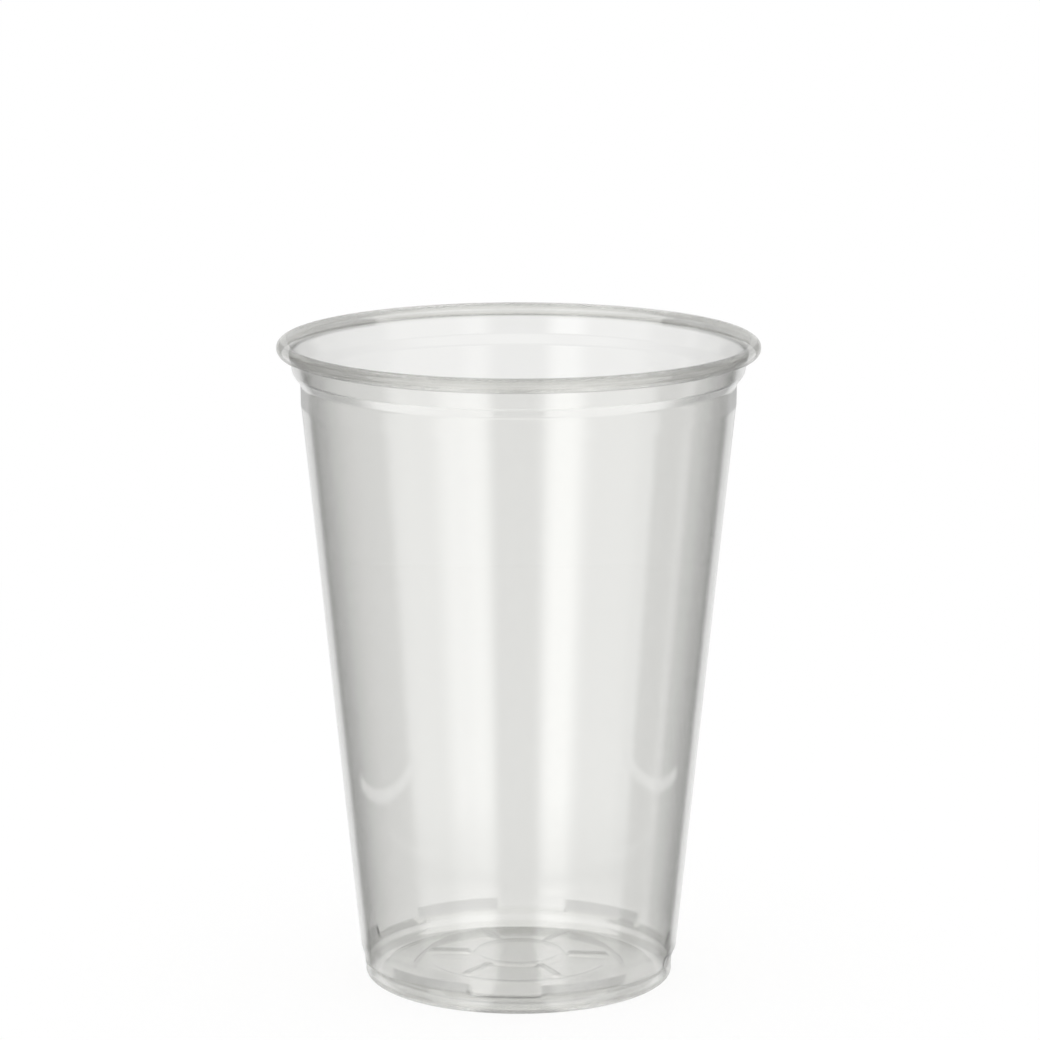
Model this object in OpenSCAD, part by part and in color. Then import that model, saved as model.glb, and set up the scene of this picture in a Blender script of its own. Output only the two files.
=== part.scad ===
/* [Cup] */
// Height from the standing ring to the top of the rolled rim
cup_height = 98.8; // [85:0.1:125]
// Outer diameter over the rolled rim
rim_diameter = 73; // [69:0.5:85]
// Outer diameter of the tapered wall at its lower end
base_diameter = 48.6; // [44:0.1:56]
// Thickness of the formed sheet
wall = 0.3; // [0.2:0.05:0.4]

/* [Rolled rim] */
// Thickness of the round bead that the sheet is rolled into
bead_diameter = 2.2; // [1.8:0.1:2.6]
// How far round the bead the sheet is rolled, in degrees
bead_roll = 250; // [240:5:315]
// Height of the straight lip, from the top of the bead down
lip_height = 2.4; // [2:0.1:3]
// Height of the leaning collar under the lip
collar_height = 2.45; // [1:0.05:3]
// How far the collar leans outwards
collar_lean = 0.55; // [0.2:0.05:0.8]

/* [Neck] */
// Height of the flare between the neck band and the collar
flare_height = 1.55; // [1:0.05:3]
// How far the flare widens the wall
flare_width = 1.15; // [0.5:0.05:1.5]
// Height of the neck band, which is almost straight
neck_height = 3.3; // [2:0.1:6]
// How far the neck band leans outwards
neck_lean = 0.05; // [0.05:0.05:0.3]
// How far the neck band stands out from the tapered wall
neck_step = 0.15; // [0.1:0.05:0.4]
// Height of the slope between the neck band and the tapered wall
neck_slope = 1.2; // [0.6:0.1:2]

/* [Stacking step] */
// Height of the foot band below the step
foot_height = 2.85; // [2.4:0.05:4]
// Height of the slope between the foot band and the tapered wall
step_height = 1.9; // [1:0.1:3]
// How far the foot band is set in from the tapered wall
step_inset = 0.74; // [0.6:0.02:1]
// Number of stacking lugs, where the wall runs straight down over the step
lug_count = 6; // [3:1:8]
// Arc that each lug takes up, in degrees
lug_arc = 26; // [12:1:34]
// Height of the sloped ledge under each lug
lug_ledge = 0.4; // [0.3:0.05:0.6]

/* [Base] */
// Radius of the rounded corner between the foot band and the standing ring
corner_radius = 0.9; // [0.6:0.1:2]
// Width of the flat ring that the cup stands on
standing_width = 1.6; // [0.8:0.1:2]
// Rise of the floor inside the standing ring
floor_rise = 0.7; // [0.5:0.1:1]
// Diameter of the round raised panel, over the foot of its sloped edge
panel_diameter = 32.4; // [28:0.2:34]
// Rise of the panel above the floor round it
panel_rise = 1.7; // [1:0.1:2]
// Width of the panel's sloped edge
panel_slope = 1.9; // [1.4:0.1:2.4]
// Diameter of the raised hub in the middle of the panel
hub_diameter = 14; // [10:0.5:16]
// Rise of the hub above the panel
hub_rise = 0.5; // [0.3:0.1:0.8]
// Number of stiffening ribs between the hub and the panel's edge
rib_count = 6; // [3:1:8]
// Width of each rib where it leaves the panel
rib_width = 1.8; // [1.6:0.1:2.4]
// Height of each rib above the panel
rib_height = 0.5; // [0.4:0.05:0.7]
// Clear space between a rib's ends and the hub and the panel's edge
rib_gap = 0.4; // [0.2:0.1:0.8]
// Direction of the first rib, in degrees round from the right
rib_turn = -5; // [-30:1:30]

/* [Hidden] */
$fn = 48;

// Sheet bends: the radius of the small ones and the angle between points of an arc
bend_radius = 0.5;
arc_step = 24;
// Length that a cut runs past a face, so that it opens it cleanly
past = 1;

// Radii of the outer surface, from the rim down
rim_r = rim_diameter / 2;
bead_r = bead_diameter / 2;
lip_r = rim_r - bead_diameter + wall;
collar_r = lip_r - collar_lean;
neck_top_r = collar_r - flare_width;
neck_foot_r = neck_top_r - neck_lean;
taper_top_r = neck_foot_r - neck_step;
taper_foot_r = base_diameter / 2;
foot_r = taper_foot_r - step_inset;

// Levels of the outer surface, from the rim down
bead_z = cup_height - bead_r;
lip_z = cup_height - lip_height;
collar_z = lip_z - collar_height;
flare_z = collar_z - flare_height;
neck_z = flare_z - neck_height;
taper_top_z = neck_z - neck_slope;
taper_foot_z = foot_height + step_height;

// Radii and levels of the underside, from the standing ring inwards
standing_outer_r = foot_r - corner_radius;
standing_inner_r = standing_outer_r - standing_width;
floor_r = standing_inner_r - floor_rise;
panel_foot_r = panel_diameter / 2;
panel_r = panel_foot_r - panel_slope;
panel_z = floor_rise + panel_rise;
hub_r = hub_diameter / 2;
hub_z = panel_z + hub_rise;

function along(v) = v / norm(v);
function leftward(v) = [-v[1], v[0]];
function turned(v, angle) = [v[0] * cos(angle) - v[1] * sin(angle), v[0] * sin(angle) + v[1] * cos(angle)];
function point(p) = [p[0], p[1]];

// Arc of a given radius that rounds the corner b between the lines from a and to c
function rounded_corner(a, b, c, radius) =
    let (
        back = along(a - b),
        ahead = along(c - b),
        turn = 180 - acos(back * ahead),
        side = sign(cross(-back, ahead)),
        start = b + back * radius * tan(turn / 2),
        centre = start + leftward(-back) * side * radius,
        steps = ceil(turn / arc_step)
    )
    [for (i = [0:steps]) centre + turned(start - centre, side * turn * i / steps)];

// Line through corners given as [radius out, level, bend], with each bend made an arc
function rounded_line(line) = [
    for (i = [0:len(line) - 1])
        each (i == 0 || i == len(line) - 1 || line[i][2] == 0
            ? [point(line[i])]
            : rounded_corner(point(line[i - 1]), point(line[i]), point(line[i + 1]), line[i][2]))
];

// The same line moved sideways, to its left where the distance is positive
function moved_line(line, distance) = [
    for (i = [0:len(line) - 1])
        let (
            before = leftward(along(line[max(i, 1)] - line[max(i, 1) - 1])),
            after = leftward(along(line[min(i, len(line) - 2) + 1] - line[min(i, len(line) - 2)])),
            middle = along(before + after)
        )
        line[i] + middle * distance / (middle * before)
];

function reversed(line) = [for (i = [len(line) - 1:-1:0]) line[i]];

// Radius of the tapered wall's outer surface, carried on to any level
function taper_r(z) =
    taper_foot_r + (taper_top_r - taper_foot_r) * (z - taper_foot_z) / (taper_top_z - taper_foot_z);

// Underside from the middle out to the standing ring, then the outside of the wall up to the lip
base_line = [
    [0, hub_z, 0],
    [hub_r - hub_rise, hub_z, bend_radius],
    [hub_r, panel_z, bend_radius],
    [panel_r, panel_z, bend_radius],
    [panel_foot_r, floor_rise, bend_radius],
    [floor_r, floor_rise, bend_radius],
    [standing_inner_r, 0, bend_radius],
    [foot_r, 0, corner_radius],
    [foot_r, foot_height, 0]
];
wall_line = [
    [taper_foot_r, taper_foot_z, 0],
    [taper_top_r, taper_top_z, bend_radius],
    [neck_foot_r, neck_z, bend_radius],
    [neck_top_r, flare_z, 2 * bend_radius],
    [collar_r, collar_z, 2 * bend_radius],
    [lip_r, lip_z, 2 * bend_radius]
];

// Hollow side of the rolled bead, from the lip over the top and round underneath
roll_steps = ceil(bead_roll / arc_step);
roll_line = [
    for (i = [0:roll_steps])
        [rim_r - bead_r, bead_z] + turned([wall - bead_r, 0], -bead_roll * i / roll_steps)
];

// Section of the sheet: its outer surface, then its inner surface back to the middle
outer_line = concat(rounded_line(concat(base_line, wall_line, [concat(roll_line[0], 0)])),
    [for (i = [1:roll_steps]) roll_line[i]]);
sheet_section = concat(outer_line, reversed(moved_line(outer_line, wall)));

// Outside of the wall where a lug carries it straight down over the step
lug_line = [
    [foot_r, foot_height - lug_ledge - past],
    [foot_r, foot_height - lug_ledge],
    [taper_r(foot_height), foot_height],
    [taper_foot_r, taper_foot_z],
    [taper_r(taper_foot_z + past), taper_foot_z + past]
];
lug_inner_line = moved_line(lug_line, wall);
half_wall = [wall / 2, 0];

// Cross-section of a rib above the panel, from foot to foot, and the groove under it
rib_line = [
    [-rib_width, 0],
    [-rib_width / 2, 0],
    [-rib_width / 4, rib_height],
    [rib_width / 4, rib_height],
    [rib_width / 2, 0],
    [rib_width, 0]
];
groove_line = moved_line(rib_line, -wall);
rib_start = hub_r + rib_gap;
rib_length = panel_r - rib_gap - rib_start;

// Repeats its children evenly round the cup's axis, from a first direction
module around(count, first) {
    for (i = [0:count - 1])
        rotate([0, 0, first + i * 360 / count]) children();
}

// A ring section swept over part of a circle, with its middle to the right
module swept_arc(section, arc) {
    rotate([0, 0, -arc / 2]) rotate_extrude(angle = arc) polygon(section);
}

// The whole sheet as it would be without lugs and ribs
module formed_sheet() {
    rotate_extrude() polygon(sheet_section);
}

// Outer form of one lug
module lug_form() {
    swept_arc([
        lug_line[1] - half_wall,
        lug_line[1],
        lug_line[2],
        lug_line[3],
        lug_line[3] - half_wall
    ], lug_arc);
}

// Hollow behind one lug, open to the inside of the cup
module lug_hollow() {
    flank = 2 * asin(wall / foot_r);
    swept_arc([
        lug_inner_line[1] - [past, 0],
        lug_inner_line[1],
        lug_inner_line[2],
        lug_inner_line[3],
        lug_inner_line[3] - [past, 0]
    ], lug_arc - flank);
}

// A bar that lies along a radius, from a start for a length
module radial_bar(section, start, length) {
    translate([start, 0, 0]) rotate([90, 0, 90]) linear_extrude(height = length) polygon(section);
}

// Raised form of one rib, on the upper side of the panel
module rib_form() {
    translate([0, 0, panel_z + wall]) radial_bar([
        [-rib_width / 2, -wall / 2],
        rib_line[1],
        rib_line[2],
        rib_line[3],
        rib_line[4],
        [rib_width / 2, -wall / 2]
    ], rib_start, rib_length);
}

// Groove under one rib, open to the underside
module rib_groove() {
    translate([0, 0, panel_z + wall]) radial_bar([
        groove_line[1] - [0, past],
        groove_line[1],
        groove_line[2],
        groove_line[3],
        groove_line[4],
        groove_line[4] - [0, past]
    ], rib_start + wall, rib_length - 2 * wall);
}

// The cup, formed from one clear sheet, with a lug midway between two ribs
module cup() {
    first_lug = 180 / lug_count;
    color([0.86, 0.88, 0.87, 0.45])
        rotate([0, 0, rib_turn])
            difference() {
                union() {
                    formed_sheet();
                    around(lug_count, first_lug) lug_form();
                    around(rib_count, 0) rib_form();
                }
                around(lug_count, first_lug) lug_hollow();
                around(rib_count, 0) rib_groove();
            }
}

cup();
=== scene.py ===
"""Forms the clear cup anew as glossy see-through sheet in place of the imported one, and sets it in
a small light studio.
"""

import math

import bpy
from bpy.props import FloatProperty, FloatVectorProperty, IntProperty, PointerProperty
from mathutils import Matrix, Vector


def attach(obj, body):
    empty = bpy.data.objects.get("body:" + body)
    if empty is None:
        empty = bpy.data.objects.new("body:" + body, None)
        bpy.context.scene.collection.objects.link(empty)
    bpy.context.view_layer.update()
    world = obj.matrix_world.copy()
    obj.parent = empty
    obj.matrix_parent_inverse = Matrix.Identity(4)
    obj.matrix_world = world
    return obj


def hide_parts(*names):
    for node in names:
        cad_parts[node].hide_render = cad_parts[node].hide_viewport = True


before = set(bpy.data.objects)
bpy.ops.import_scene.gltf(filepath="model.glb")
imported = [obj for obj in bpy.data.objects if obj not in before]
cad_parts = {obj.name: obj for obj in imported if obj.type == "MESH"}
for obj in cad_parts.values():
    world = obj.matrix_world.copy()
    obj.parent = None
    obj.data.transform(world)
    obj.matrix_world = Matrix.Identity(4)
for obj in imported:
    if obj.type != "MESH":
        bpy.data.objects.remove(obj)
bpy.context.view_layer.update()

bl_info = {
    "name": "Clear Cup",
    "version": (1, 0, 0),
    "blender": (4, 5, 0),
    "location": "3D View > Sidebar > Clear Cup",
    "description": "Forms a clear drinking cup from one sheet and lights it",
    "category": "Object",
}

MM = 0.001

# Fineness of the section: angle between points of a bend, longest straight piece, how near a bend
# a straight stretch has a point, and the shortest stretch that gets such points
ARC_STEP = math.radians(10)
LONGEST_STRAIGHT = 6 * MM
HOLD = 0.12 * MM
HELD_STRETCH = 6 * HOLD
# Pieces that the top of the foot band and the step's slope are cut into
LEDGE_LEVELS = 8
STEP_LEVELS = 9
# How many step heights the line down a lug's wall starts above the step
LUG_LINE_STEPS = 4
# Distance within which the sheet's vertices are merged
WELD = 0.001 * MM

# Detail of the noise behind the wall's waves, the dull clouds and the uneven base, and how many
# times longer the wall's waves are upright than round the cup
RIPPLE_DETAIL, CLOUD_DETAIL, BASE_WAVE_DETAIL = 1.0, 3.0, 1.0
RIPPLE_STRETCH = 3.0

# Light bounces that the many faces of clear sheet need, and the nearest that the camera sees
PLASTIC_BOUNCES, MIRROR_BOUNCES = 32, 16
CLIP_START = 10 * MM
WHITE = (1, 1, 1, 1)

# Softboxes and cards round the cup, which its plastic mirrors: from and to, in degrees round
# from the camera's side with right as positive, width of the soft edge, and brightness
TABLE_CARDS = {
    "left_fill": (-75, -14, 10, 0.9),
    "left_strip": (-44, -17, 16, 1.0),
    "camera_gap": (-12, 11, 6, 0.42),
    "right_strip": (14, 36, 16, 1.0),
    "right_fill": (12, 79, 8, 0.9),
    "right_sliver": (99, 107, 6, 0.4),
}
FAR_CARDS = {
    "left_backdrop": (-210, -147, 14, 1.0),
    "right_backdrop": (147, 210, 14, 1.0),
}
EYE_CARDS = {
    "left_fill": (-73, -16, 12, 0.45),
    "left_strip": (-35, -17, 12, 0.95),
    "left_sliver": (-106, -97, 8, 0.2),
    "right_strip": (16, 30, 12, 0.4),
    "right_fill": (16, 73, 12, 0.5),
    "left_backdrop": (-210, -142, 20, 0.6),
    "right_backdrop": (142, 210, 20, 0.6),
}
HIGH_CARDS = {
    "camera_side": (-100, 100, 20, 0.12),
    "left_backdrop": (-210, -135, 20, 0.65),
    "right_backdrop": (135, 210, 20, 0.65),
}
# Where those rings of cards give way to each other, in degrees above the level, and over how many
# degrees the highest ring comes in
TABLE_RISE, EYE_RISE, HIGH_RISE, HIGH_EDGE = -12, -10, 20, 8
# Table further down and sky: where each starts, over how many degrees, and its brightness
STEEP_RISE, STEEP_EDGE, STEEP_LEVEL = -42, 12, 1.5
SKY_RISE, SKY_EDGE, SKY_LEVEL = 42, 14, 0.6
# Table nearly straight down: where it starts, how far it goes to each side, and its brightness,
# with soft edges as wide as those of the table further down
MIDDLE_RISE, MIDDLE_SIDE, MIDDLE_LEVEL = -62, 46, 0.42
# Far cards: where they start, over how many degrees, and their brightness above and below that
FAR_RISE, FAR_EDGE, FAR_LEVEL, FAR_FLOOR = -24, 6, 0.95, 0.4


def length(name, description, millimetres):
    """A size that a user sets in the panel, given here in millimetres."""
    return FloatProperty(
        name=name, description=description, default=millimetres * MM, min=0, unit="LENGTH"
    )


def angle(name, description, degrees):
    """A direction or arc that a user sets in the panel, given here in degrees."""
    return FloatProperty(
        name=name, description=description, default=math.radians(degrees), subtype="ANGLE"
    )


def amount(name, description, value, high=10.0):
    """A plain factor that a user sets in the panel."""
    return FloatProperty(name=name, description=description, default=value, min=0, max=high)


def colour(name, description, value):
    """A colour that a user sets in the panel."""
    return FloatVectorProperty(
        name=name, description=description, default=value, size=3, subtype="COLOR", min=0, max=1
    )


class CupForm(bpy.types.PropertyGroup):
    """Sizes of the formed sheet."""

    height: length("Height", "From the standing ring to the top of the rim", 98.8)
    rim_diameter: length("Rim diameter", "Outer diameter over the rolled rim", 73)
    base_diameter: length("Base diameter", "Outer diameter of the wall's lower end", 48.6)
    wall: length("Wall", "Thickness of the formed sheet", 0.3)
    bend: length("Bend", "Radius of the sheet's small bends", 0.5)
    crease: length("Crease", "Radius of the bends at the stacking step", 0.3)

    bead_diameter: length("Bead", "Thickness of the rolled bead", 2.2)
    bead_roll: angle("Roll", "How far round the bead the sheet is rolled", 250)
    lip_height: length("Lip", "Height of the straight lip under the bead's top", 2.4)
    collar_height: length("Collar", "Height of the leaning collar", 2.45)
    collar_lean: length("Collar lean", "How far the collar leans outwards", 0.55)

    flare_height: length("Flare", "Height of the flare under the collar", 1.55)
    flare_width: length("Flare width", "How far the flare widens the wall", 1.15)
    neck_height: length("Neck", "Height of the neck band", 3.3)
    neck_lean: length("Neck lean", "How far the neck band leans outwards", 0.05)
    neck_step: length("Neck step", "How far the neck band stands out", 0.15)
    neck_slope: length("Neck slope", "Height of the slope under the neck band", 1.2)

    foot_height: length("Foot", "Height of the foot band below the step", 2.85)
    step_height: length("Step", "Height of the step's slope", 1.9)
    step_inset: length("Step inset", "How far the foot band is set in", 0.74)
    corner_radius: length("Corner", "Radius of the rounded bottom corner", 0.9)
    standing_width: length("Standing ring", "Width of the flat standing ring", 1.6)
    floor_rise: length("Floor rise", "Rise of the floor inside the standing ring", 0.7)
    panel_diameter: length("Panel", "Diameter over the foot of the panel's edge", 32.4)
    panel_rise: length("Panel rise", "Rise of the panel above the floor", 1.7)
    panel_slope: length("Panel slope", "Width of the panel's sloped edge", 1.9)
    hub_diameter: length("Hub", "Diameter of the raised hub", 14)
    hub_rise: length("Hub rise", "Rise of the hub above the panel", 0.5)

    first_rib: angle("First rib", "Direction of the first rib, round from the right", -5)
    rib_count: IntProperty(name="Ribs", description="Number of ribs", default=6, min=1)
    rib_width: length("Rib width", "Width of each rib where it leaves the panel", 1.8)
    rib_height: length("Rib height", "Height of each rib", 0.5)
    rib_gap: length("Rib gap", "Clear space at a rib's ends", 0.4)
    lug_count: IntProperty(name="Lugs", description="Number of stacking lugs", default=6, min=1)
    lug_arc: angle("Lug arc", "Arc that each lug takes up", 26)
    lug_flank: angle("Lug flank", "Arc of the slope at each end of a lug", 1.4)
    lug_ledge: length("Lug ledge", "Height of the ledge under each lug", 0.4)

    ripple: length("Ripple", "Depth of the faint waves that forming leaves", 0.012)
    ripple_length: length("Ripple length", "Length of those waves", 14)
    segments: IntProperty(name="Segments", description="Steps round", default=312, min=32)


class CupFinish(bpy.types.PropertyGroup):
    """Look of the clear plastic."""

    tint: colour("Tint", "Share of light that the sheet lets through", (0.92, 0.92, 0.907))
    edge: amount("Edge", "How much denser the wall looks where it is seen edge-on", 0.42, 1.0)
    ior: amount("IOR", "Refractive index of the plastic", 1.57)
    smoothest: amount("Smoothest", "Roughness of the glossiest places", 0.015, 1.0)
    dullest: amount("Dullest", "Roughness of the dullest places", 0.05, 1.0)
    cloud_size: length("Cloud size", "Size of the faint dull clouds", 18)
    base_top: length("Base top", "Height up to which the sheet is duller and uneven", 6.5)
    base_edge: length("Base edge", "Height over which that look fades", 1.5)
    bend_reach: length("Bend reach", "Distance over which the look of the bends comes in", 0.6)
    base_dull: amount("Base dullness", "Roughness added in the base", 0.06, 1.0)
    base_waves: length("Base waves", "Depth of the uneven surface of the base", 0.08)
    base_wave_size: length("Base wave size", "Size of those waves", 5)
    rim_foot: length("Rim foot", "Height from which the sheet is rolled into the rim", 96.4)
    rim_density: amount("Rim density", "How much denser the plastic of the rim looks", 0.05, 1.0)
    # Painted highlight: a clearer line round the bead's crest stands in for a reflected highlight
    highlight_level: length("Crest level", "Height of the clear line round the rim's bead", 97.7)
    highlight_width: length("Crest width", "Half of its width, and how far it fades beyond that", 0.2)
    highlight_strength: amount("Crest light", "How clear that line is", 0.42, 1.0)
    # Painted shade: the stacking step's colour is darkened to stand in for the shade on its slope
    step_shade_depth: amount("Step density", "How much denser the stacking step looks", 0.2, 1.0)
    step_shade_edge: length("Step edge", "Width of the soft edges of that look", 0.4)
    corner_top: length("Corner top", "Height up to which the bottom corner looks plain", 1.5)
    ledge_level: length("Ledge level", "Height of the lugs' ledges", 2.75)
    ledge_reach: length("Ledge reach", "How far up and down from there the sheet looks plain", 0.8)
    wall_start: length("Wall start", "Distance from the axis to the foot band's inside", 22.7)
    softness: amount("Softness", "How far the tight bends look plain", 0.55, 1.0)
    soft_loss: amount("Soft loss", "Share of light that each face loses in those bends", 0.03, 1.0)


class Studio(bpy.types.PropertyGroup):
    """Camera, floor and light."""

    distance: length("Distance", "Level distance from the camera to the cup's axis", 712.1)
    eye_height: length("Camera height", "Height of the camera above the floor", 215.7)
    eye_side: length("Camera side", "How far right of the axis the camera stands", 0.2)
    pitch: angle("Pitch", "How far down the camera looks", 11.49)
    lens: FloatProperty(
        name="Lens", description="Focal length for the square picture", default=165.8, unit="CAMERA"
    )
    floor_size: length("Floor", "Width of the floor", 6000)
    paper: colour("Paper", "Colour of the floor", (0.95, 0.95, 0.95))
    ambient: amount("Ambient", "Level of the soft light from all round", 0.75)
    lamp_power: amount("Lamp", "Power of the soft overhead lamp, in watts", 5.5, 1000.0)
    lamp_size: length("Lamp size", "Width of the soft overhead lamp", 1000)
    lamp_height: length("Lamp height", "Height of the soft overhead lamp", 1200)
    self_light: amount("Self light", "Share of the floor that looks white by itself", 0.75, 1.0)
    shade_reach: length("Shade reach", "How far out the floor can hold a shadow", 300)
    contact_shade: amount("Contact shade", "Depth of the shade seen under the cup", 0.03, 1.0)
    contact_reach: length("Contact reach", "Radius of the shade under the cup", 25)
    contact_edge: length("Contact edge", "Width of its soft edge", 4)

    # Painted shade and light on the table that only the light mirrored by the cup shows: a shade
    # round the cup, a dark spot in front of the foot, bright places beside it, and a straight light
    # line each side
    mirrored_shade: amount("Mirrored shade", "Depth of the cup's mirrored shade", 0.5, 1.0)
    mirrored_start: length("Mirrored start", "Distance from the axis where that shade starts", 50)
    mirrored_reach: length("Mirrored reach", "Length of the rays that miss that shade", 85)
    mirrored_side: length("Mirrored side", "Distance behind the axis where that shade ends", 30)
    mirrored_edge: length("Mirrored edge", "Width of that shade's soft edges", 42)
    spot_shade: amount("Spot shade", "Depth of the mirrored dark spot", 0.85, 1.0)
    spot_width: length("Spot width", "Width of that spot", 15)
    spot_edge: length("Spot edge", "Width of its soft sides", 3)
    spot_reach: length("Spot reach", "Distance from the axis to its far end", 57)
    spot_fade: length("Spot fade", "Length of its soft far end", 15)
    beside_start: length("Bright start", "How far aside the mirrored bright places start", 13)
    beside_reach: length("Bright reach", "Distance from the axis to the end of that light", 46)
    beside_fade: length("Bright fade", "Width of its soft sides", 15)
    beside_edge: length("Bright edge", "Width of its soft edge towards the back", 8)
    beside_light: amount("Bright light", "Level of that light", 0.85, 1.0)
    line_side: length("Line side", "Half the distance between the mirrored light lines", 101.5)
    line_middle: length("Line middle", "How far right of the axis their middle is", 2.5)
    line_width: length("Line width", "Width of each line", 6)
    line_edge: length("Line edge", "Width of their soft sides", 3)
    line_fade: length("Line fade", "Length of their soft ends", 12)
    line_front: length("Line front", "How far in front of the axis they start", 52)
    line_back: length("Line back", "How far behind the axis they end", 44)
    line_reach: length("Line reach", "Length of the rays that miss them", 114)
    line_light: amount("Line light", "Level of those lines", 0.7, 1.0)


def settings():
    """The three groups of settings that the panel shows."""
    scene = bpy.context.scene
    return scene.clear_cup_form, scene.clear_cup_finish, scene.clear_cup_studio


class Maths:
    """A number socket that Python's operators turn into Math nodes."""

    def __init__(self, graph, socket):
        self.graph = graph
        self.socket = socket

    def made(self, operation, *others, clamp=False):
        """The result of a Math node on this value and others."""
        values = dict(enumerate((self, *others)))
        options = {"operation": operation, "use_clamp": clamp}
        return self.graph.maths("ShaderNodeMath", 0, options, values)

    def turned(self, operation, other):
        """The result of a Math node that takes this value second."""
        return self.graph.maths("ShaderNodeMath", 0, {"operation": operation}, {0: other, 1: self})

    def __add__(self, other):
        return self.made("ADD", other)

    __radd__ = __add__

    def __mul__(self, other):
        return self.made("MULTIPLY", other)

    __rmul__ = __mul__

    def __sub__(self, other):
        return self.made("SUBTRACT", other)

    def __rsub__(self, other):
        return self.turned("SUBTRACT", other)

    def __truediv__(self, other):
        return self.made("DIVIDE", other)

    def __rtruediv__(self, other):
        return self.turned("DIVIDE", other)

    def __abs__(self):
        return self.made("ABSOLUTE")

    def clamped(self):
        """This value kept between 0 and 1."""
        return self.made("ADD", 0.0, clamp=True)

    def eased(self):
        """This value kept between 0 and 1, with soft ends."""
        inside = self.clamped()
        return inside * inside * (3.0 - 2.0 * inside)


class Graph:
    """Adds nodes to a tree."""

    def __init__(self, tree):
        self.tree = tree

    def add(self, kind, options=None, values=None):
        """One node of a kind: its options are set first, then its sockets' values or links."""
        node = self.tree.nodes.new(kind)
        for name, value in (options or {}).items():
            setattr(node, name, value)
        for key, value in (values or {}).items():
            socket = node.inputs[key]
            value = getattr(value, "socket", value)
            if isinstance(value, bpy.types.NodeSocket):
                self.tree.links.new(value, socket)
            else:
                socket.default_value = value
        return node

    def maths(self, kind, output, options=None, values=None):
        """One output of a new node, ready for sums."""
        return Maths(self, self.add(kind, options, values).outputs[output])

    def joined(self, x, y, z):
        """A vector socket from three numbers."""
        return self.add("ShaderNodeCombineXYZ", None, {0: x, 1: y, 2: z}).outputs[0]

    def parts(self, vector):
        """The three numbers of a vector socket."""
        outputs = self.add("ShaderNodeSeparateXYZ", None, {0: vector}).outputs
        return [Maths(self, output) for output in outputs]

    def mixed(self, factor, first, second):
        """A shader that goes over from a first to a second one as the factor rises to 1."""
        shaders = {0: factor, 1: first.outputs[0], 2: second.outputs[0]}
        return self.add("ShaderNodeMixShader", None, shaders)


def shader_graph(owner):
    """The graph of a new material or world, with its tree emptied."""
    owner.use_nodes = True
    owner.node_tree.nodes.clear()
    return Graph(owner.node_tree)


def blended(first, second, share):
    """A value that goes over from a first to a second one as the share rises to 1."""
    return first + (second - first) * share


def window(value, low, high, edge):
    """1 between two values and 0 outside them, with soft edges of a given width."""
    middle, half = (low + high) / 2, (high - low) / 2
    return ((half + edge / 2 - abs(value - middle)) / edge).eased()


def linked(name, data):
    """A new object that holds some data, in the scene."""
    thing = bpy.data.objects.new(name, data)
    bpy.context.collection.objects.link(thing)
    return thing


def leftward(v):
    """A direction turned a quarter to the left."""
    return Vector((-v.y, v.x))


def rounded_corner(before, corner, after, radius):
    """Points of the arc that rounds a corner between two lines."""
    back = (before - corner).normalized()
    ahead = (after - corner).normalized()
    turn = math.pi - back.angle(ahead)
    side = 1 if leftward(-back).dot(ahead) > 0 else -1
    start = corner + back * radius * math.tan(turn / 2)
    centre = start + leftward(-back) * side * radius
    steps = max(math.ceil(turn / ARC_STEP), 1)
    return [
        centre + Matrix.Rotation(side * turn * i / steps, 2) @ (start - centre)
        for i in range(steps + 1)
    ]


def rounded_line(corners):
    """A line through corners given as radius out, level and bend, with arcs for its bends."""
    places = [Vector(corner[:2]) for corner in corners]
    line = [places[0]]
    for i in range(1, len(corners) - 1):
        bend = corners[i][2]
        if bend:
            line += rounded_corner(*places[i - 1 : i + 2], bend)
        else:
            line.append(places[i])
    return line + [places[-1]]


def refined(line):
    """The same line with points held near its bends and spread along its straight stretches."""
    points = [line[0]]
    for start, end in zip(line, line[1:]):
        span = (end - start).length
        if span > HELD_STRETCH:
            along = (end - start) / span
            inner = span - 2 * HOLD
            steps = math.ceil(inner / LONGEST_STRAIGHT)
            points += [start + along * (HOLD + inner * i / steps) for i in range(steps + 1)]
        points.append(end)
    return points


def moved(line, distance):
    """The same line moved to its left by a distance."""
    points = []
    for i, here in enumerate(line):
        first, last = max(i, 1), min(i, len(line) - 2)
        before = leftward((line[first] - line[first - 1]).normalized())
        after = leftward((line[last + 1] - line[last]).normalized())
        middle = (before + after).normalized()
        points.append(here + middle * distance / middle.dot(before))
    return points


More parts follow.
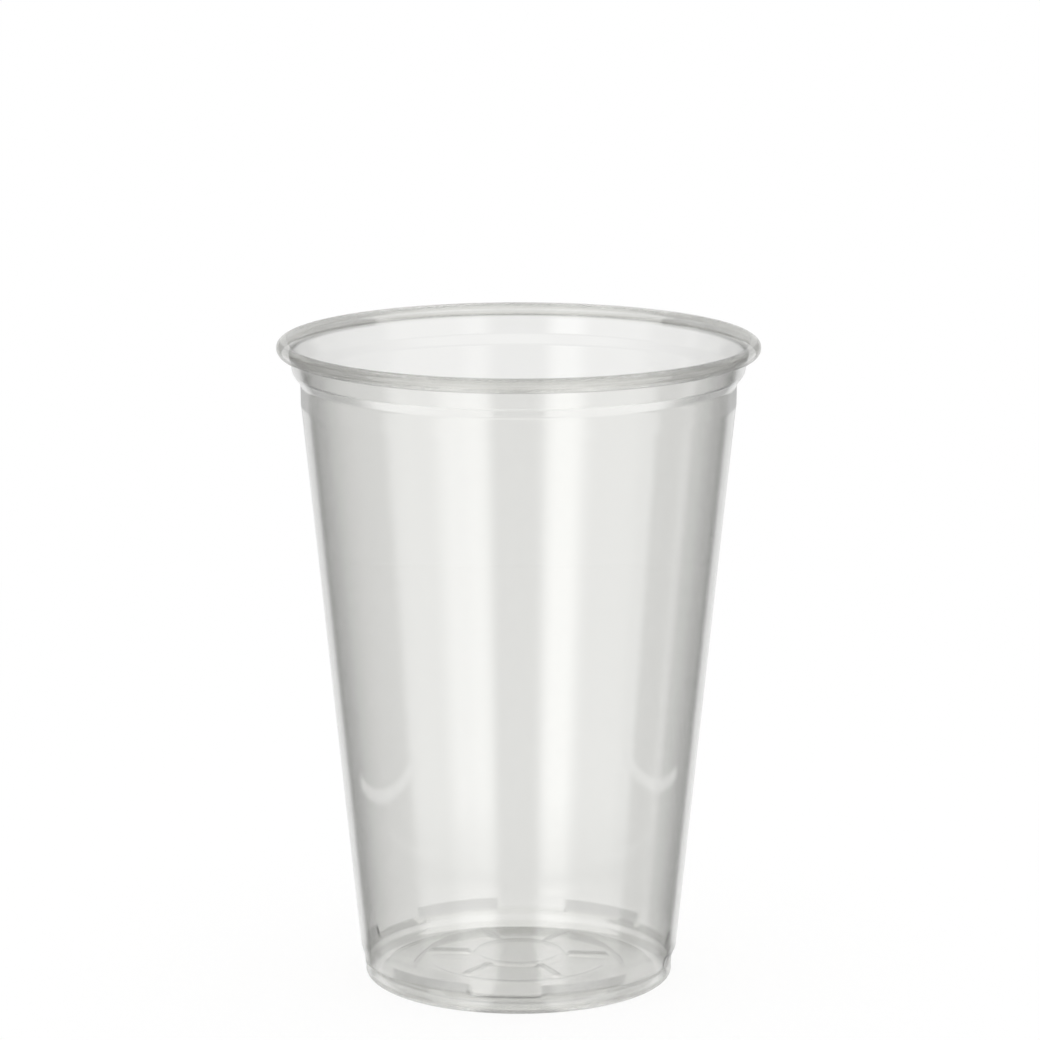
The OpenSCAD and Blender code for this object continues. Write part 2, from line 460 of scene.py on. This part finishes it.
class Section:
    """The sheet's section, worked out from the sizes as radius out and level."""

    def __init__(self, form):
        self.form = form
        self.rim_r = form.rim_diameter / 2
        self.bead_r = form.bead_diameter / 2
        self.lip_r = self.rim_r - form.bead_diameter + form.wall
        self.neck_r = self.lip_r - form.collar_lean - form.flare_width
        self.taper_top_r = self.neck_r - form.neck_lean - form.neck_step
        self.taper_foot_r = form.base_diameter / 2
        self.foot_r = self.taper_foot_r - form.step_inset

        self.lip_z = form.height - form.lip_height
        self.collar_z = self.lip_z - form.collar_height
        self.flare_z = self.collar_z - form.flare_height
        self.neck_z = self.flare_z - form.neck_height
        self.taper_top_z = self.neck_z - form.neck_slope
        self.taper_foot_z = form.foot_height + form.step_height

        self.hub_r = form.hub_diameter / 2
        self.panel_r = form.panel_diameter / 2 - form.panel_slope
        self.panel_z = form.floor_rise + form.panel_rise
        self.rib_start = self.hub_r + form.rib_gap
        self.rib_end = self.panel_r - form.rib_gap
        self.rib_slope = form.rib_width / 4

        self.outer = refined(self.base_line() + self.wall_line())
        self.outer += self.roll()
        self.inner = moved(self.outer, form.wall)

    def taper_r(self, level):
        """Radius of the tapered wall's outer surface, carried on to any level."""
        share = (level - self.taper_foot_z) / (self.taper_top_z - self.taper_foot_z)
        return self.taper_foot_r + (self.taper_top_r - self.taper_foot_r) * share

    def base_line(self):
        """Underside from the middle out to the foot band."""
        form = self.form
        standing_r = self.foot_r - form.corner_radius - form.standing_width
        ribs = [
            self.rib_start,
            self.rib_start + self.rib_slope / 2,
            self.rib_start + self.rib_slope,
            self.rib_end - self.rib_slope,
            self.rib_end - self.rib_slope / 2,
            self.rib_end,
        ]
        return rounded_line([
            (0, self.panel_z + form.hub_rise),
            (self.hub_r - form.hub_rise, self.panel_z + form.hub_rise, form.bend),
            (self.hub_r, self.panel_z, form.bend),
            *[(radius, self.panel_z, 0) for radius in ribs],
            (self.panel_r, self.panel_z, form.bend),
            (form.panel_diameter / 2, form.floor_rise, form.bend),
            (standing_r - form.floor_rise, form.floor_rise, form.bend),
            (standing_r, 0, form.bend),
            (self.foot_r, 0, form.corner_radius),
            (self.foot_r, (form.corner_radius + form.foot_height) / 2),
        ])

    def wall_line(self):
        """Outside of the wall from the foot band up to the lip."""
        form = self.form
        start = Vector((self.foot_r, form.foot_height - form.lug_ledge - form.crease))
        low = Vector((self.foot_r, form.foot_height))
        high = Vector((self.taper_foot_r, self.taper_foot_z))
        band = [start.lerp(low, i / LEDGE_LEVELS) for i in range(LEDGE_LEVELS)]
        slope = [low.lerp(high, i / STEP_LEVELS) for i in range(1, STEP_LEVELS)]
        return rounded_line([
            *[(*place, 0) for place in band],
            (*low, form.crease),
            *[(*place, 0) for place in slope],
            (*high, form.crease),
            (self.taper_top_r, self.taper_top_z, form.bend),
            (self.neck_r - form.neck_lean, self.neck_z, form.bend),
            (self.neck_r, self.flare_z, 2 * form.bend),
            (self.lip_r - form.collar_lean, self.collar_z, 2 * form.bend),
            (self.lip_r, self.lip_z, 2 * form.bend),
            (self.lip_r, form.height - self.bead_r),
        ])

    def roll(self):
        """Hollow side of the rolled bead, from the lip over the top and round underneath."""
        form = self.form
        centre = Vector((self.rim_r - self.bead_r, form.height - self.bead_r))
        spoke = Vector((form.wall - self.bead_r, 0))
        steps = math.ceil(form.bead_roll / ARC_STEP)
        return [
            centre + Matrix.Rotation(-form.bead_roll * i / steps, 2) @ spoke
            for i in range(1, steps + 1)
        ]

    def lug_shifts(self):
        """How far each point of the section moves out where a lug carries the wall down."""
        form = self.form
        above = self.taper_foot_z + LUG_LINE_STEPS * form.step_height
        outside = refined(rounded_line([
            (self.foot_r, form.corner_radius),
            (self.foot_r, form.foot_height - form.lug_ledge, form.crease),
            (self.taper_r(form.foot_height), form.foot_height, form.crease),
            (self.taper_r(above), above),
        ]))
        return [
            *[self.shift(point, outside) for point in self.outer],
            *[self.shift(point, moved(outside, form.wall)) for point in reversed(self.inner)],
        ]

    def shift(self, point, lug_line):
        """How far out a line along the lug's wall lies from a point at the same level."""
        if point.x < self.foot_r - self.form.corner_radius or point.y < lug_line[0].y:
            return 0.0
        for low, high in zip(lug_line, lug_line[1:]):
            if low.y <= point.y < high.y:
                share = (point.y - low.y) / (high.y - low.y)
                return low.x + (high.x - low.x) * share - point.x
        return 0.0

    def mesh(self):
        """The section as a line of vertices in the plane of the first rib."""
        points = self.outer + self.inner[::-1]
        mesh = bpy.data.meshes.new("sheet_section")
        edges = [(i, i + 1) for i in range(len(points) - 1)]
        mesh.from_pydata([(point.x, 0, point.y) for point in points], edges, [])
        shifts = mesh.attributes.new("lug_shift", "FLOAT", "POINT")
        shifts.data.foreach_set("value", self.lug_shifts())
        return mesh


SHEET_INPUTS = {
    "Segments": "Int",
    "First Rib": "Float",
    "Rib Count": "Int",
    "Rib Width": "Float",
    "Rib Height": "Float",
    "Rib Start": "Float",
    "Rib End": "Float",
    "Lug Count": "Int",
    "Lug Arc": "Float",
    "Lug Flank": "Float",
    "Ripple": "Float",
    "Ripple Length": "Float",
    "Taper Foot": "Float",
    "Taper Top": "Float",
    "Weld": "Float",
    "Plastic": "Material",
}


def sheet_tree():
    """Node tree that carries the section round the axis and forms the lugs and ribs."""
    tree = bpy.data.node_groups.new("formed_sheet", "GeometryNodeTree")
    tree.is_modifier = True
    sockets = tree.interface
    sockets.new_socket("Section", in_out="INPUT", socket_type="NodeSocketGeometry")
    for name, kind in SHEET_INPUTS.items():
        sockets.new_socket(name, in_out="INPUT", socket_type="NodeSocket" + kind)
    sockets.new_socket("Sheet", in_out="OUTPUT", socket_type="NodeSocketGeometry")

    graph = Graph(tree)
    group = graph.add("NodeGroupInput").outputs
    section = group["Section"]
    given = {name: Maths(graph, group[name]) for name in SHEET_INPUTS}

    # Which column round the cup and which point of the section each vertex is
    points = graph.maths(
        "GeometryNodeAttributeDomainSize", "Point Count", None, {"Geometry": section}
    )
    index = graph.maths("GeometryNodeInputIndex", 0)
    column = ((index + 0.5) / points).made("FLOOR")
    row = index - column * points
    local = column / given["Segments"] * math.tau
    turn = local + given["First Rib"]

    def sampled(kind, field):
        """A field's value at this vertex's point of the section."""
        values = {"Geometry": section, "Value": field, "Index": row}
        return graph.add("GeometryNodeSampleIndex", {"data_type": kind}, values).outputs[0]

    radius, _, level = graph.parts(
        sampled("FLOAT_VECTOR", graph.add("GeometryNodeInputPosition").outputs[0])
    )
    shift_input = graph.add(
        "GeometryNodeInputNamedAttribute", {"data_type": "FLOAT"}, {"Name": "lug_shift"}
    )
    shift = Maths(graph, sampled("FLOAT", shift_input.outputs[0]))

    # Lugs lie midway between the pattern's repeats, and ribs lie on them
    lug_spacing = math.tau / given["Lug Count"]
    off_lug = abs(local.made("FLOORED_MODULO", lug_spacing) - lug_spacing / 2)
    lug_half = (given["Lug Arc"] + given["Lug Flank"]) / 2
    lug = ((lug_half - off_lug) / given["Lug Flank"]).eased()

    rib_spacing = math.tau / given["Rib Count"]
    from_rib = (local + rib_spacing / 2).made("FLOORED_MODULO", rib_spacing) - rib_spacing / 2
    off_rib = abs(from_rib.made("SINE") * radius)
    slope = given["Rib Width"] / 4
    across = ((given["Rib Width"] / 2 - off_rib) / slope).eased()
    inner_end = ((radius - given["Rib Start"]) / slope).eased()
    outer_end = ((given["Rib End"] - radius) / slope).eased()
    rib = across * inner_end * outer_end

    # Faint upright waves in the tapered wall
    wave = given["Ripple Length"]
    streak = graph.joined(
        turn.made("COSINE") * radius / wave,
        turn.made("SINE") * radius / wave,
        level / (RIPPLE_STRETCH * wave),
    )
    noise = graph.maths("ShaderNodeTexNoise", 0, None, {
        "Vector": streak, "Scale": 1.0, "Detail": RIPPLE_DETAIL
    })
    low_end = ((level - given["Taper Foot"]) / wave).eased()
    high_end = ((given["Taper Top"] - level) / wave).eased()
    wavy = (noise - 0.5) * 2.0 * given["Ripple"] * low_end * high_end

    out = radius + shift * lug + wavy
    high = level + given["Rib Height"] * rib
    position = graph.joined(out * turn.made("COSINE"), out * turn.made("SINE"), high)

    grid = graph.add("GeometryNodeMeshGrid", None, {
        "Vertices X": given["Segments"] + 1.0, "Vertices Y": points
    })
    steps = (
        ("GeometryNodeSetPosition", None, {"Position": position}),
        ("GeometryNodeStoreNamedAttribute", {"data_type": "FLOAT"}, {
            "Name": "off_lug", "Value": 1.0 - lug
        }),
        ("GeometryNodeMergeByDistance", None, {"Distance": given["Weld"]}),
        ("GeometryNodeSetShadeSmooth", None, {}),
        ("GeometryNodeRealizeInstances", None, {}),
        ("GeometryNodeSetMaterial", None, {"Material": given["Plastic"]}),
    )
    formed = grid.outputs["Mesh"]
    for kind, options, values in steps:
        formed = graph.add(kind, options, {"Geometry": formed, **values}).outputs[0]
    graph.add("NodeGroupOutput", None, {0: formed})
    return tree


def evaluated_mesh(name, mesh, tree, inputs):
    """The plain mesh that a node tree makes of a mesh, with the tree's inputs given by name."""
    holder = linked(name + "_source", mesh)
    modifier = holder.modifiers.new(tree.name, "NODES")
    modifier.node_group = tree
    for item in tree.interface.items_tree:
        if item.name in inputs:
            modifier[item.identifier] = inputs[item.name]
    result = bpy.data.meshes.new_from_object(
        holder.evaluated_get(bpy.context.evaluated_depsgraph_get())
    )
    result.name = name
    holder.modifiers.clear()
    bpy.data.objects.remove(holder)
    bpy.data.meshes.remove(mesh)
    return result


def clear_plastic(form, finish):
    """Clear glossy plastic with faint dull clouds, a painted shade at the step and a painted
    highlight round the bead, which lets lamps through to the floor.
    """
    material = bpy.data.materials.new("clear_plastic")
    graph = shader_graph(material)
    here = graph.add("ShaderNodeTexCoord").outputs["Object"]
    x, y, level = graph.parts(here)

    def noise(size, detail):
        """Noise with patches of about a given size."""
        values = {"Vector": here, "Scale": 1 / size, "Detail": detail}
        return graph.maths("ShaderNodeTexNoise", 0, None, values)

    # The base, the rolled rim, and the stacking step between the lugs, which gets a painted shade
    low = ((finish.base_top - level) / finish.base_edge).eased()
    rim = ((level - finish.rim_foot) / finish.bend_reach).eased()
    wall = (((x * x + y * y).made("SQRT") - finish.wall_start) / finish.bend_reach).eased()
    off_lug = graph.maths("ShaderNodeAttribute", "Fac", {"attribute_name": "off_lug"})
    step_top = form.foot_height + form.step_height
    step = off_lug * wall * window(level, form.foot_height, step_top, finish.step_shade_edge)

    # Plastic, duller in faint clouds, uneven in the base, and denser where it is seen edge-on and in
    # the rim, with a painted shade darkening it at the step
    roughness = blended(
        finish.smoothest, finish.dullest, noise(finish.cloud_size, CLOUD_DETAIL).eased()
    )
    uneven = graph.add("ShaderNodeBump", None, {
        "Strength": 1.0,
        "Distance": finish.base_waves,
        "Height": noise(finish.base_wave_size, BASE_WAVE_DETAIL) * low,
    })
    facing = graph.maths("ShaderNodeLayerWeight", "Facing", None, {"Blend": 0.5})
    plain = (low + rim).clamped()
    clear = 1.0 - finish.edge * facing * facing * facing * (1.0 - plain)
    # Painted shade: the colour is darkened at the step
    clear = clear - finish.rim_density * rim - finish.step_shade_depth * step
    plastic = graph.add("ShaderNodeBsdfPrincipled", None, {
        "Base Color": graph.joined(*[clear * share for share in finish.tint]),
        "Roughness": roughness + finish.base_dull * low,
        "Normal": uneven.outputs[0],
        "IOR": finish.ior,
        "Transmission Weight": 1.0,
    })

    # Tight bends, which let part of the light straight through: the rim, and in the foot the floor,
    # the bottom corner and the lugs' ledges
    corner = ((finish.corner_top - level) / finish.bend_reach).eased()
    ledge = ((finish.ledge_reach - abs(level - finish.ledge_level)) / finish.bend_reach).eased()
    bends = (corner + ledge + 1.0 - wall).clamped() * low + rim
    kept = [share * (1 - finish.soft_loss) for share in finish.tint]
    thin = graph.add("ShaderNodeBsdfTransparent", None, {"Color": (*kept, 1)})
    softened = graph.mixed(bends * finish.softness, plastic, thin)

    # Painted highlight: a clearer line round the bead, which lets more light straight through
    off_highlight = (abs(level - finish.highlight_level) - finish.highlight_width) / finish.highlight_width
    painted_highlight = (1.0 - off_highlight.eased()) * finish.highlight_strength
    highlight_pass = graph.add("ShaderNodeBsdfTransparent", None, {"Color": WHITE})
    highlighted = graph.mixed(painted_highlight, softened, highlight_pass)

    # What lamps and the light from the floor pass through
    passed = graph.add("ShaderNodeBsdfTransparent", None, {"Color": (*finish.tint, 1)})
    ray = graph.add("ShaderNodeLightPath").outputs
    lit_through = Maths(graph, ray["Is Shadow Ray"]).made("MAXIMUM", ray["Is Diffuse Ray"])
    mixed = graph.mixed(lit_through, highlighted, passed)
    graph.add("ShaderNodeOutputMaterial", None, {"Surface": mixed.outputs[0]})
    return material


class CLEARCUP_OT_form_sheet(bpy.types.Operator):
    """Forms the cup's wall, base and rolled rim as one sheet"""

    bl_idname = "clear_cup.form_sheet"
    bl_label = "Form the sheet"

    def execute(self, context):
        form, finish, _ = settings()
        section = Section(form)
        plastic = clear_plastic(form, finish)
        mesh = evaluated_mesh("clear_sheet", section.mesh(), sheet_tree(), {
            "Segments": form.segments,
            "First Rib": form.first_rib,
            "Rib Count": form.rib_count,
            "Rib Width": form.rib_width,
            "Rib Height": form.rib_height,
            "Rib Start": section.rib_start,
            "Rib End": section.rib_end,
            "Lug Count": form.lug_count,
            "Lug Arc": form.lug_arc,
            "Lug Flank": form.lug_flank,
            "Ripple": form.ripple,
            "Ripple Length": form.ripple_length,
            "Taper Foot": section.taper_foot_z,
            "Taper Top": section.taper_top_z,
            "Weld": WELD,
            "Plastic": plastic,
        })
        sheet = linked("clear_sheet", mesh)
        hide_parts("cup")
        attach(sheet, "root")
        return {"FINISHED"}


def card_light(side, cards):
    """Brightness of a ring of cards in the direction that is so many degrees round."""
    return sum(window(side, low, high, edge) * level for low, high, edge, level in cards.values())


def studio_world(studio):
    """White to the camera and through the plastic, softboxes and cards where it mirrors."""
    world = bpy.data.worlds.new("studio_world")
    graph = shader_graph(world)
    x, y, z = graph.parts(graph.add("ShaderNodeTexCoord").outputs["Generated"])
    side = x.made("ARCTAN2", y * -1.0) * math.degrees(1)
    rise = z.made("ARCSINE") * math.degrees(1)

    # Cards at the table's level, which give way to the table further down
    far = card_light(side, FAR_CARDS)
    steep = ((STEEP_RISE - rise) / STEEP_EDGE).eased() * (1.0 - far)
    middle = ((MIDDLE_RISE - rise) / STEEP_EDGE).eased()
    middle = middle * (1.0 - ((abs(side) - MIDDLE_SIDE) / STEEP_EDGE).eased())
    below = blended(STEEP_LEVEL, MIDDLE_LEVEL, middle)
    table = card_light(side, TABLE_CARDS) * (1.0 - steep) + below * steep
    backdrop = blended(FAR_FLOOR, FAR_LEVEL, ((rise - FAR_RISE) / FAR_EDGE).eased())
    table = table + far * backdrop

    # The rings above them, and the sky
    eye = card_light(side, EYE_CARDS)
    high = card_light(side, HIGH_CARDS)
    cards = blended(table, eye, ((rise - TABLE_RISE) / (EYE_RISE - TABLE_RISE)).eased())
    cards = blended(cards, high, ((rise - HIGH_RISE) / HIGH_EDGE).eased())
    cards = blended(cards, SKY_LEVEL, ((rise - SKY_RISE) / SKY_EDGE).eased())

    ray = graph.add("ShaderNodeLightPath").outputs
    mirrored = Maths(graph, ray["Glossy Depth"]).clamped()
    seen = graph.add("ShaderNodeBackground", None, {"Color": WHITE})
    studio_cards = graph.add("ShaderNodeBackground", None, {"Color": cards})
    soft = graph.add("ShaderNodeBackground", None, {"Color": WHITE, "Strength": studio.ambient})
    shown = graph.mixed(mirrored, seen, studio_cards)
    final = graph.mixed(ray["Is Diffuse Ray"], shown, soft)
    graph.add("ShaderNodeOutputWorld", None, {"Surface": final.outputs[0]})
    return world


def painted_table_light_and_shade(studio, x, y, out, ray_length):
    """How far painted shade darkens and painted light brightens the table at a place, in the light
    that the cup mirrors.
    """
    short = ((studio.mirrored_reach - ray_length) / studio.mirrored_edge).eased()
    near = short * ((studio.mirrored_side - y) / studio.mirrored_edge).eased()
    near = near * ((out - studio.mirrored_start) / (studio.mirrored_edge / 2)).eased()

    aside = abs(x)
    spot = ((studio.spot_width / 2 - aside) / studio.spot_edge).eased()
    spot = spot * short * (y / -studio.spot_edge).eased()
    spot = spot * ((studio.spot_reach - out) / studio.spot_fade).eased()
    shade = (studio.mirrored_shade * near + studio.spot_shade * spot).clamped()

    beside = short * ((aside - studio.beside_start) / studio.beside_fade).eased()
    beside = beside * ((studio.beside_reach - out) / studio.beside_fade).eased()
    beside = beside * (y / -studio.beside_edge).eased() * studio.beside_light

    inner = studio.line_side - studio.line_width / 2
    outer = studio.line_side + studio.line_width / 2
    line = window(abs(x - studio.line_middle), inner, outer, studio.line_edge)
    line = line * window(y, -studio.line_front, studio.line_back, studio.line_fade)
    line = line * ((studio.line_reach - ray_length) / studio.line_edge).eased()
    return shade, beside.made("MAXIMUM", line * studio.line_light)


def floor_white(studio):
    """Pale floor that looks white to the camera and through the plastic and keeps a shadow."""
    material = bpy.data.materials.new("floor_white")
    graph = shader_graph(material)
    ray = graph.add("ShaderNodeLightPath").outputs
    x, y, _ = graph.parts(graph.add("ShaderNodeTexCoord").outputs["Object"])
    out = (x * x + y * y).made("SQRT")

    # What the camera sees, which is the same through the plastic
    seen = Maths(graph, ray["Is Camera Ray"]).made("MAXIMUM", ray["Is Transmission Ray"])
    far = (out / studio.shade_reach).eased()
    under = ((studio.contact_reach - out) / studio.contact_edge).eased()
    glowing = seen * blended(studio.self_light, 1.0, (far + under).clamped())
    paper = graph.add("ShaderNodeBsdfDiffuse", None, {"Color": (*studio.paper, 1)})
    glow = graph.add("ShaderNodeEmission", None, {"Color": 1.0 - studio.contact_shade * under})
    pale = graph.mixed(glowing, paper, glow)

    # What the cup mirrors: the world behind the floor, with painted shade and painted light in
    # places
    shade, lit = painted_table_light_and_shade(studio, x, y, out, Maths(graph, ray["Ray Length"]))
    open_way = graph.add("ShaderNodeBsdfTransparent", None, {"Color": 1.0 - shade})
    bright = graph.add("ShaderNodeEmission", None, {"Color": WHITE})
    reflected = graph.mixed(lit, open_way, bright)

    mirrored = Maths(graph, ray["Glossy Depth"]).clamped()
    final = graph.mixed(mirrored, pale, reflected)
    graph.add("ShaderNodeOutputMaterial", None, {"Surface": final.outputs[0]})
    return material


class CLEARCUP_OT_set_stage(bpy.types.Operator):
    """Sets the floor, the light and the camera"""

    bl_idname = "clear_cup.set_stage"
    bl_label = "Set the stage"

    def execute(self, context):
        _, _, studio = settings()
        scene = context.scene
        scene.view_settings.view_transform = "Standard"
        scene.world = studio_world(studio)
        scene.cycles.max_bounces = PLASTIC_BOUNCES
        scene.cycles.transmission_bounces = PLASTIC_BOUNCES
        scene.cycles.glossy_bounces = MIRROR_BOUNCES

        half = studio.floor_size / 2
        mesh = bpy.data.meshes.new("floor")
        corners = [(-half, -half, 0), (half, -half, 0), (half, half, 0), (-half, half, 0)]
        mesh.from_pydata(corners, [], [(0, 1, 2, 3)])
        mesh.materials.append(floor_white(studio))
        floor = linked("floor", mesh)

        lamp = linked("overhead_lamp", bpy.data.lights.new("overhead_lamp", "AREA"))
        lamp.data.size = studio.lamp_size
        lamp.data.energy = studio.lamp_power
        lamp.location = (0, 0, studio.lamp_height)
        lamp.visible_camera = lamp.visible_glossy = lamp.visible_transmission = False

        camera = linked("camera", bpy.data.cameras.new("camera"))
        camera.data.lens = studio.lens
        camera.data.clip_start = CLIP_START
        camera.location = (studio.eye_side, -studio.distance, studio.eye_height)
        camera.rotation_euler = (math.pi / 2 - studio.pitch, 0, 0)
        scene.camera = camera
        return {"FINISHED"}


class CLEARCUP_PT_panel(bpy.types.Panel):
    """Lists the cup's steps and settings"""

    bl_idname = "CLEARCUP_PT_panel"
    bl_label = "Clear Cup"
    bl_space_type = "VIEW_3D"
    bl_region_type = "UI"
    bl_category = "Clear Cup"

    def draw(self, context):
        self.layout.operator("clear_cup.form_sheet")
        self.layout.operator("clear_cup.set_stage")
        for group in settings():
            column = self.layout.column(heading=group.bl_rna.name)
            for name in group.__annotations__:
                column.prop(group, name)


CLASSES = (
    CupForm,
    CupFinish,
    Studio,
    CLEARCUP_OT_form_sheet,
    CLEARCUP_OT_set_stage,
    CLEARCUP_PT_panel,
)


def register():
    """Makes the classes and settings known to Blender."""
    for kind in CLASSES:
        bpy.utils.register_class(kind)
    bpy.types.Scene.clear_cup_form = PointerProperty(type=CupForm)
    bpy.types.Scene.clear_cup_finish = PointerProperty(type=CupFinish)
    bpy.types.Scene.clear_cup_studio = PointerProperty(type=Studio)


def unregister():
    """Takes the settings and classes away again."""
    del bpy.types.Scene.clear_cup_studio
    del bpy.types.Scene.clear_cup_finish
    del bpy.types.Scene.clear_cup_form
    for kind in reversed(CLASSES):
        bpy.utils.unregister_class(kind)


def main():
    """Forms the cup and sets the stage."""
    register()
    bpy.ops.clear_cup.form_sheet()
    bpy.ops.clear_cup.set_stage()


if __name__ == "__main__":
    main()
